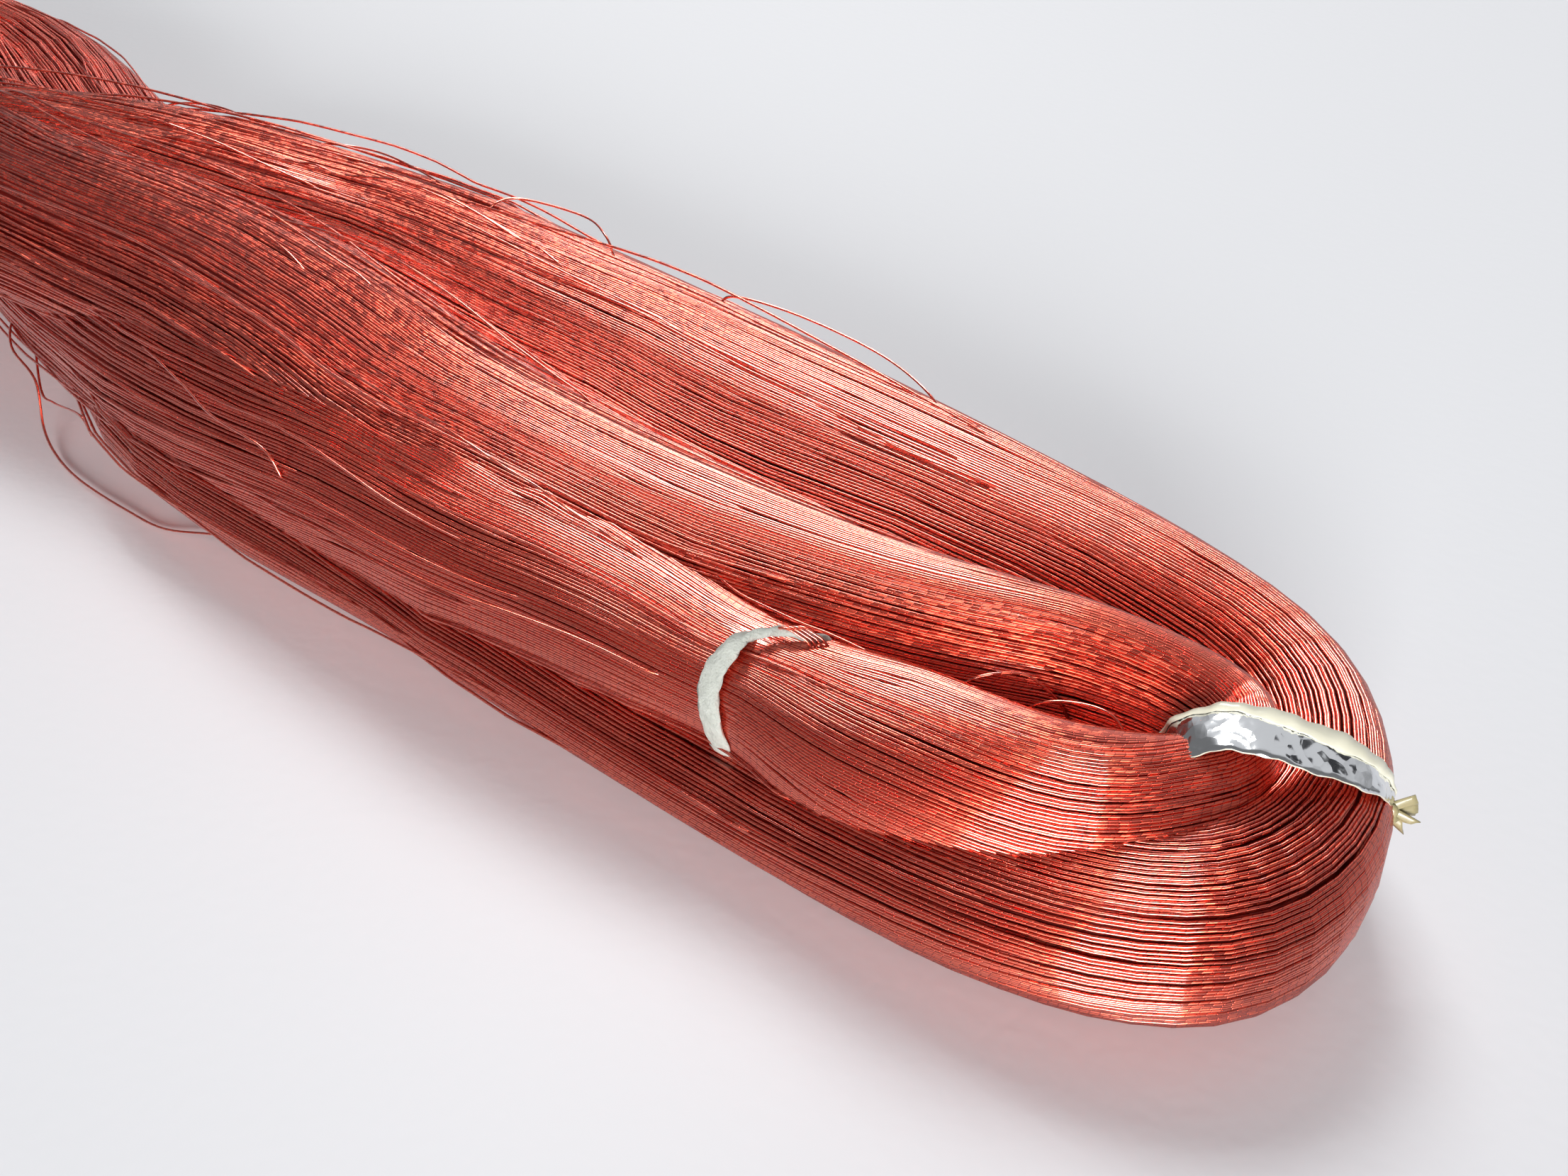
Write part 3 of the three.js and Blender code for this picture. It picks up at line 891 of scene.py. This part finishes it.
STRIP_EYE = (139.4, -8.6)
STRIP_HEADING = math.radians(24)
STRIP_STEPS_PER_ROW = 8
FILM_THICKNESS = 0.09
STRIP_ROUTE = [
    FilmRow(-0.6, 0, 6.0, 3.2, 0.3),
    FilmRow(-0.3, 0, 10.0, 3.2, 0.3),
    FilmRow(0.3, 0, 12.6, 3.2, 0.35),
    FilmRow(2.0, 0, 14.2, 3.2, 0.5),
    FilmRow(4.0, 0, 14.6, 3.3, 0.85),
    FilmRow(6.3, 0, 14.2, 3.4, 1.2),
    FilmRow(8.7, 0.2, 13.4, 3.2, 1.3),
    FilmRow(10.7, 0.9, 11.8, 2.5, 0.9),
    FilmRow(11.9, 2.2, 9.1, 1.1, 0.3),
    FilmRow(12.3, 3.6, 6.2, 2.2, 0.6),
    FilmRow(11.7, 4.9, 2.9, 3.0, 0.8),
    FilmRow(9.2, 4.9, 1.0, 3.2, 0.8),
    FilmRow(5.5, 3.2, 0.8, 3.2, 0.8),
    FilmRow(1.6, 1.0, 1.0, 3.2, 0.7),
    FilmRow(-0.3, 0, 2.6, 3.2, 0.7),
]
print("rows of the strip:", len(STRIP_ROUTE))

# %% [markdown]
# The film's face is a thin layer of metal on smooth plastic, so it mirrors the room, broken up by creases.
# Its back is plain cream plastic with a soft gloss; where it is gathered, the same film is painted darker as
# painted shade.

# %% Film materials


def metallised_film_material():
    material, tree = new_material("metallised_polyester_film")
    place = add(tree, "TexCoord")
    # Creases a millimetre or two apart, with a finer crinkle of about 0.4 mm over them.
    creases = add(tree, "TexNoise", {"Vector": place.outputs["Object"]}, Scale=650.0, Detail=2.0)
    crinkle = add(tree, "TexVoronoi", {"Vector": place.outputs["Object"]}, Scale=1400.0)
    both = add(tree, "Math", {0: creases.outputs["Fac"], 1: crinkle.outputs["Distance"]}, operation="ADD")
    bump = add(tree, "Bump", {"Height": both.outputs[0]}, Strength=0.5, Distance=0.12 * MM)
    shader = add(
        tree, "BsdfPrincipled", {"Normal": bump.outputs[0]},
        Base_Color=linear("#E4E6E8"), Metallic=1.0, Roughness=0.13,
    )
    finish_material(tree, shader)
    return material


def film_back_material(name, dark, light):
    material, tree = new_material(name)
    place = add(tree, "TexCoord")
    # Soft clouds about two millimetres across.
    cloud = add(tree, "TexNoise", {"Vector": place.outputs["Object"]}, Scale=500.0, Detail=3.0)
    colour = add(
        tree, "Mix", {"Factor": cloud.outputs["Fac"]}, data_type="RGBA",
        input6=linear(dark), input7=linear(light),
    )
    bump = add(tree, "Bump", {"Height": cloud.outputs["Fac"]}, Strength=0.4, Distance=0.1 * MM)
    shader = add(
        tree, "BsdfPrincipled", {"Base Color": colour.outputs[2], "Normal": bump.outputs[0]},
        Roughness=0.35, Coat_Weight=0.3, Coat_Roughness=0.2,
    )
    finish_material(tree, shader)
    return material


film_face = metallised_film_material()
film_back = film_back_material("cream_film_back", "#BDBAA5", "#D0CDBC")
# The knot and the cut ends take a darker copy of the cream back, as painted shade.
painted_shade_film = film_back_material("painted_shade_film", "#7C7350", "#9A916D")
print("film materials:", film_face.name, film_back.name, painted_shade_film.name)

# %% [markdown]
# The film's section is a bent line with the fold at one end. A copy of the line a film's thickness away
# closes it, and the faces between take the mirror material on the face and the cream one on the back.

# %% The film's band


def film_profile(width, hem):
    """The film's run across the strip, as beside and outward: flat, then folded back over itself."""
    edge = width / 2
    return np.array([
        (-edge, 0.02),
        (-0.8 * edge, 0.06),
        (-0.4 * edge, 0.12),
        (0.1 * edge, 0.14),
        (0.6 * edge, 0.12),
        (edge - 0.10, 0.08),
        (edge, 0.15),
        (edge - 0.10, 0.25),
        (edge - 0.5 * hem, 0.27),
        (edge - hem, 0.22),
    ])


def both_sides(run, thickness):
    """A thin closed outline round an open run of points: its front, then its back."""
    way = unit(np.gradient(run, axis=0))
    out = np.stack([-way[:, 1], way[:, 0]], axis=1) * thickness / 2
    return np.vstack([run + out, (run - out)[::-1]])


FILM_RUN_POINTS = len(film_profile(1, 1))
FILM_SLOTS = [0] * (FILM_RUN_POINTS - 1) + [1] * (FILM_RUN_POINTS + 1)


def band_stations(route, steps_per_row, foot, heading):
    """Stations of a closed band: place, middle, the ways left and outward, and the row's last values."""
    rows = np.array(route, float)
    places = np.arange(len(rows) * steps_per_row) / steps_per_row
    ahead = np.array([math.cos(heading), math.sin(heading), 0.0])
    left = np.array([-math.sin(heading), math.cos(heading), 0.0])
    top = np.array([0.0, 0.0, 1.0])
    for place, value, slope in zip(places, *through_rows(rows, places)):
        middle = np.array([*foot, 0.0]) + value[0] * ahead + value[1] * left + value[2] * top
        yield place, middle, left, unit(slope[0] * top - slope[2] * ahead), value[3:]


def strip_band(bm):
    stations = band_stations(STRIP_ROUTE, STRIP_STEPS_PER_ROW, STRIP_EYE, STRIP_HEADING)
    sections = []
    for place, middle, left, outward, (width, hem) in stations:
        run = film_profile(width, hem)
        long_dents = 0.07 * np.sin(5.1 * place + 2.0 * run[:, 0])
        short_dents = 0.05 * np.sin(11.7 * place - 3.1 * run[:, 0])
        run[:, 1] += long_dents + short_dents
        outline = both_sides(run, FILM_THICKNESS)
        sections.append(middle + outline[:, :1] * left + outline[:, 1:] * outward)
    skin(bm, sections, closed=True, slots=FILM_SLOTS)


print("points round the film's section:", 2 * FILM_RUN_POINTS)

# %% [markdown]
# The knot is a small hard lump where the film is pulled tight. Beyond it two short cut ends stand out, each
# gathered at the knot and fanned out with a pleat or two.

# %% The knot and the cut ends
KNOT = np.array([149.5, -2.4, 9.0])
KNOT_RADIUS = 0.6
CutEnd = namedtuple("CutEnd", "turn lift length root_width tip_width pleat notch")
CUT_ENDS = [
    CutEnd(42, 14, 1.45, 0.9, 1.6, 0.20, 0.1),
    CutEnd(12, -24, 1.5, 0.8, 1.3, 0.16, -0.4),
]
END_STATIONS = 7
END_POINTS = 9


def strip_knot(bm):
    lump = bmesh.ops.create_icosphere(bm, subdivisions=3, radius=KNOT_RADIUS * MM)["verts"]
    middle = Vector(placed([KNOT])[0])
    for vertex in lump:
        way = vertex.co.normalized()
        fold = 1 + 0.14 * math.sin(7 * way.z + 3 * way.x) + 0.10 * math.sin(9 * way.y - 4 * way.z)
        vertex.co = middle + vertex.co * fold
    # The knot's faces take the cream film painted darker, as painted shade.
    for face in {face for vertex in lump for face in vertex.link_faces}:
        face.material_index = 2


def strip_end(bm, end):
    """One cut end: a pleated tab that widens away from the knot."""
    turn, lift = math.radians(end.turn), math.radians(end.lift)
    ahead = np.array([math.cos(turn) * math.cos(lift), math.sin(turn) * math.cos(lift), math.sin(lift)])
    beside = unit(np.cross(ahead, np.cross(ahead, [0.0, 0.0, 1.0])))
    above = np.cross(ahead, beside)
    across = np.linspace(-1, 1, END_POINTS)
    sections = []
    for part in np.linspace(0, 1, END_STATIONS):
        width = end.root_width + (end.tip_width - end.root_width) * part**0.8
        pleat = end.pleat * (1 - 0.5 * part) * np.cos(2.2 * math.pi * across)
        run = np.stack([across * width / 2, pleat], axis=1)
        outline = both_sides(run, FILM_THICKNESS)
        reach = end.length * part * (1 + end.notch * (1 - np.abs(outline[:, :1]) / width * 2) * part)
        sections.append(KNOT + reach * ahead + outline[:, :1] * beside + outline[:, 1:] * above)
    # The cut end takes the cream film painted darker, as painted shade.
    skin(bm, sections, closed=False, slots=[2] * (2 * END_POINTS))


def film_strip():
    bm = bmesh.new()
    strip_band(bm)
    strip_knot(bm)
    for end in CUT_ENDS:
        strip_end(bm, end)
    bmesh.ops.recalc_face_normals(bm, faces=bm.faces)
    return piece_from(bm, "film_strip", [film_face, film_back, painted_shade_film])


strip = film_strip()
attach(strip, "root")
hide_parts("foil_strip")
print("the film strip has", len(strip.data.polygons), "faces")

# %% [markdown]
# One lock is held by a twist of soft white paper. It is pressed flat where it goes over the turns, and
# lumpy as damp-twisted paper is. Its rolled end, about half a millimetre thick, lies along the groove and
# runs out between the turns, a few of which cross over it.

# %% The paper tie
TieRow = namedtuple("TieRow", "along left z width thickness")

TIE_FOOT = (117.6, -15.0)
TIE_HEADING = math.radians(90)
TIE_STEPS_PER_ROW = 10
TIE_SIDES = 16
TIE_ROUTE = [
    TieRow(-3.9, -0.36, 9.7, 1.5, 0.36),
    TieRow(-3.35, 0.1, 11.4, 1.4, 0.38),
    TieRow(-2.4, -0.05, 12.5, 1.3, 0.42),
    TieRow(-1.25, -0.3, 13.25, 1.0, 0.45),
    TieRow(0.6, -0.2, 12.2, 0.8, 0.5),
    TieRow(3.6, 0.0, 9.4, 1.1, 0.5),
    TieRow(3.0, 0.0, 5.4, 1.4, 0.5),
    TieRow(0.0, -0.3, 4.2, 1.4, 0.5),
    TieRow(-2.9, -0.7, 5.7, 1.6, 0.36),
    TieRow(-3.7, -0.65, 7.6, 1.6, 0.36),
]
TIE_END_ROUTE = [
    Spot(117.95, -16.3, 13.2),
    Spot(118.44, -15.48, 13.4),
    Spot(118.92, -14.97, 13.45),
    Spot(119.35, -14.41, 13.4),
    Spot(120.09, -13.98, 13.3),
    Spot(120.64, -13.56, 13.1),
    Spot(121.0, -12.87, 12.6),
    Spot(121.3, -12.08, 11.8),
]
TIE_END_RADIUS = 0.28
TIE_END_SIDES = 12
TIE_END_STATIONS = 60
print("rows of the tie:", len(TIE_ROUTE))

# %% [markdown]
# Soft paper is matt and a little translucent. Its wrinkles and fibres are a bump, because they are too
# small to change its outline.

# %% Paper


def twisted_paper_material():
    material, tree = new_material("twisted_tissue_paper")
    place = add(tree, "TexCoord")
    # Wrinkles about 0.6 mm apart, and fibres of about 0.1 mm.
    wrinkles = add(tree, "TexNoise", {"Vector": place.outputs["Object"]}, Scale=1600.0, Detail=3.0)
    fibres = add(tree, "TexNoise", {"Vector": place.outputs["Object"]}, Scale=9000.0, Detail=2.0)
    both = add(
        tree, "Math", {0: fibres.outputs["Fac"], 2: wrinkles.outputs["Fac"]},
        operation="MULTIPLY_ADD", input1=0.35,
    )
    colour = add(
        tree, "Mix", {"Factor": wrinkles.outputs["Fac"]}, data_type="RGBA",
        input6=linear("#8E9189"), input7=linear("#AFB1AA"),
    )
    bump = add(tree, "Bump", {"Height": both.outputs[0]}, Strength=0.9, Distance=0.22 * MM)
    shader = add(
        tree, "BsdfPrincipled", {"Base Color": colour.outputs[2], "Normal": bump.outputs[0]},
        Roughness=0.85, Subsurface_Weight=0.15, Subsurface_Radius=(0.0004, 0.0004, 0.0003),
    )
    finish_material(tree, shader)
    return material


twisted_paper = twisted_paper_material()
print("paper material:", twisted_paper.name)

# %% [markdown]
# The flattened part is a closed band with a lumpy oval section, and the rolled end is a tapering rod with
# two ridges that turn about it, as a twisted string has.

# %% The band and the rolled end


def tie_band(bm):
    angle = 2 * math.pi * np.arange(TIE_SIDES) / TIE_SIDES
    stations = band_stations(TIE_ROUTE, TIE_STEPS_PER_ROW, TIE_FOOT, TIE_HEADING)
    sections = []
    for place, middle, left, outward, (width, thickness) in stations:
        lumps = 1 + 0.10 * np.sin(3 * angle + 4 * place) + 0.08 * np.sin(5 * angle - 7 * place)
        beside = np.cos(angle) * lumps * width / 2
        above = np.sin(angle) * lumps * thickness / 2
        sections.append(middle + beside[:, None] * left + above[:, None] * outward)
    skin(bm, sections, closed=True)


def tie_end(bm):
    """The rolled end, with the ridges of its twist, closed round at its tip."""
    middles = along_spots(TIE_END_ROUTE, TIE_END_STATIONS)
    along = unit(np.gradient(middles, axis=0))
    beside = unit(np.cross(along, [0.0, 0.0, 1.0]))
    above = np.cross(beside, along)
    angle = 2 * math.pi * np.arange(TIE_END_SIDES) / TIE_END_SIDES
    sections = []
    for station, middle in enumerate(middles):
        part = station / (TIE_END_STATIONS - 1)
        taper = math.sqrt(max(0.04, min(1.0, (1 - part) * 12)))
        ridged = TIE_END_RADIUS * taper * (1 + 0.16 * np.cos(2 * angle - 26 * part))
        wide = np.cos(angle)[:, None] * beside[station] + np.sin(angle)[:, None] * above[station]
        sections.append(middle + ridged[:, None] * wide)
    skin(bm, sections, closed=False)


def paper_tie():
    bm = bmesh.new()
    tie_band(bm)
    tie_end(bm)
    bmesh.ops.recalc_face_normals(bm, faces=bm.faces)
    return piece_from(bm, "paper_twist", [twisted_paper])


tie = paper_tie()
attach(tie, "root")
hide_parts("paper_tie")
print("the paper tie has", len(tie.data.polygons), "faces")

# %% [markdown]
# The table is a plain pale board with a matt skin. It isn't part of the object, so it is stage.

# %% Table
FLOOR_SIZE = 6.0


def pale_board_material():
    material, tree = new_material("matt_laminate")
    place = add(tree, "TexCoord")
    # The laminate has a fine pebbled skin, with pebbles about a millimetre across.
    pebbles = add(tree, "TexNoise", {"Vector": place.outputs["Object"]}, Scale=1100.0, Detail=1.0)
    bump = add(tree, "Bump", {"Height": pebbles.outputs["Fac"]}, Strength=0.12, Distance=0.12 * MM)
    shader = add(
        tree, "BsdfPrincipled", {"Normal": bump.outputs[0]}, Base_Color=linear("#CBCCCF"), Roughness=0.5,
    )
    finish_material(tree, shader)
    return material


def add_floor():
    bm = bmesh.new()
    bmesh.ops.create_grid(bm, x_segments=1, y_segments=1, size=FLOOR_SIZE / 2)
    floor = piece_from(bm, "table", [pale_board_material()])
    print("the table is", FLOOR_SIZE, "m wide")


add_floor()

# %% [markdown]
# A metal thread is bright only where it lies square to the middle way between the eye and a lamp, so the
# places of the lamps decide where the bands of light fall. A window high behind the hank lights the tops of
# the turns, and a low one at its side draws the bright bands near the marked loop end. The room is dim, but
# for a paler side that the table mirrors. A dark board out of the picture gives the film strip something
# dark to mirror.

# %% Light
# Windows and the board are panels, with sizes and distances in metres and power in watts. Azimuth is
# counted from +X towards +Y.
Panel = namedtuple("Panel", "name azimuth elevation distance width height power")
WINDOWS = [
    Panel("back_window", 136, 50, 3.0, 1.2, 1.0, 64),
    Panel("side_window", 300, 15, 3.0, 1.6, 1.0, 165),
]
WINDOW_TARGET = (120.0, -5.0, 5.0)
DARK_CARD = Panel("dark_card", 70, 28, 3.0, 0.7, 1.0, 0)
CARD_TARGET = (147.0, -5.0, 13.0)

# The room's strength goes from dim to bright as the cosine to its paler side goes from one to the other.
ROOM_COLOUR = "#F4F5F8"
BRIGHT_SIDE = (-0.14, 0.81, 0.57)
BRIGHT_FROM = 0.5
BRIGHT_TO = 0.9
DIM_ROOM = 0.2
BRIGHT_ROOM = 0.75


def way_to(azimuth, elevation):
    a, e = math.radians(azimuth), math.radians(elevation)
    return Vector((math.cos(a) * math.cos(e), math.sin(a) * math.cos(e), math.sin(e)))


def add_window(window):
    """A soft area light that points at the near loop end."""
    way = way_to(window.azimuth, window.elevation)
    data = bpy.data.lights.new(window.name, "AREA")
    data.shape = "RECTANGLE"
    data.size = window.width
    data.size_y = window.height
    data.energy = window.power
    lamp = bpy.data.objects.new(window.name, data)
    lamp.location = Vector(placed([WINDOW_TARGET])[0]) + way * window.distance
    lamp.rotation_mode = "QUATERNION"
    lamp.rotation_quaternion = (-way).to_track_quat("-Z", "Y")
    lamp.visible_camera = False
    bpy.context.scene.collection.objects.link(lamp)


def add_room():
    """Dim walls all round, with a paler side behind the hank."""
    world = bpy.data.worlds.new("room")
    world.use_nodes = True
    tree = world.node_tree
    background = tree.nodes["Background"]
    background.inputs["Color"].default_value = linear(ROOM_COLOUR)
    place = add(tree, "TexCoord")
    toward = add(
        tree, "VectorMath", {0: place.outputs["Generated"]}, operation="DOT_PRODUCT",
        input1=BRIGHT_SIDE,
    )
    strength = add(
        tree, "MapRange", {"Value": toward.outputs["Value"]}, interpolation_type="SMOOTHSTEP",
        From_Min=BRIGHT_FROM, From_Max=BRIGHT_TO, To_Min=DIM_ROOM, To_Max=BRIGHT_ROOM,
    )
    tree.links.new(strength.outputs[0], background.inputs["Strength"])
    bpy.context.scene.world = world


def add_dark_card():
    """A dark board out of the picture, which the film strip mirrors."""
    bm = bmesh.new()
    bmesh.ops.create_grid(bm, x_segments=1, y_segments=1, size=0.5)
    way = way_to(DARK_CARD.azimuth, DARK_CARD.elevation)
    spot = Matrix.Translation(Vector(placed([CARD_TARGET])[0]) + way * DARK_CARD.distance)
    turn = (-way).to_track_quat("Z", "Y").to_matrix().to_4x4()
    size = Matrix.Diagonal((DARK_CARD.width, DARK_CARD.height, 1.0, 1.0))
    bmesh.ops.transform(bm, matrix=spot @ turn @ size, verts=bm.verts)
    material, tree = new_material("dark_cloth")
    finish_material(tree, add(tree, "BsdfPrincipled", Base_Color=linear("#1C1D22"), Roughness=0.9))
    card = piece_from(bm, DARK_CARD.name, [material])


for window in WINDOWS:
    add_window(window)
add_dark_card()
add_room()
bpy.context.scene.view_settings.view_transform = "Standard"
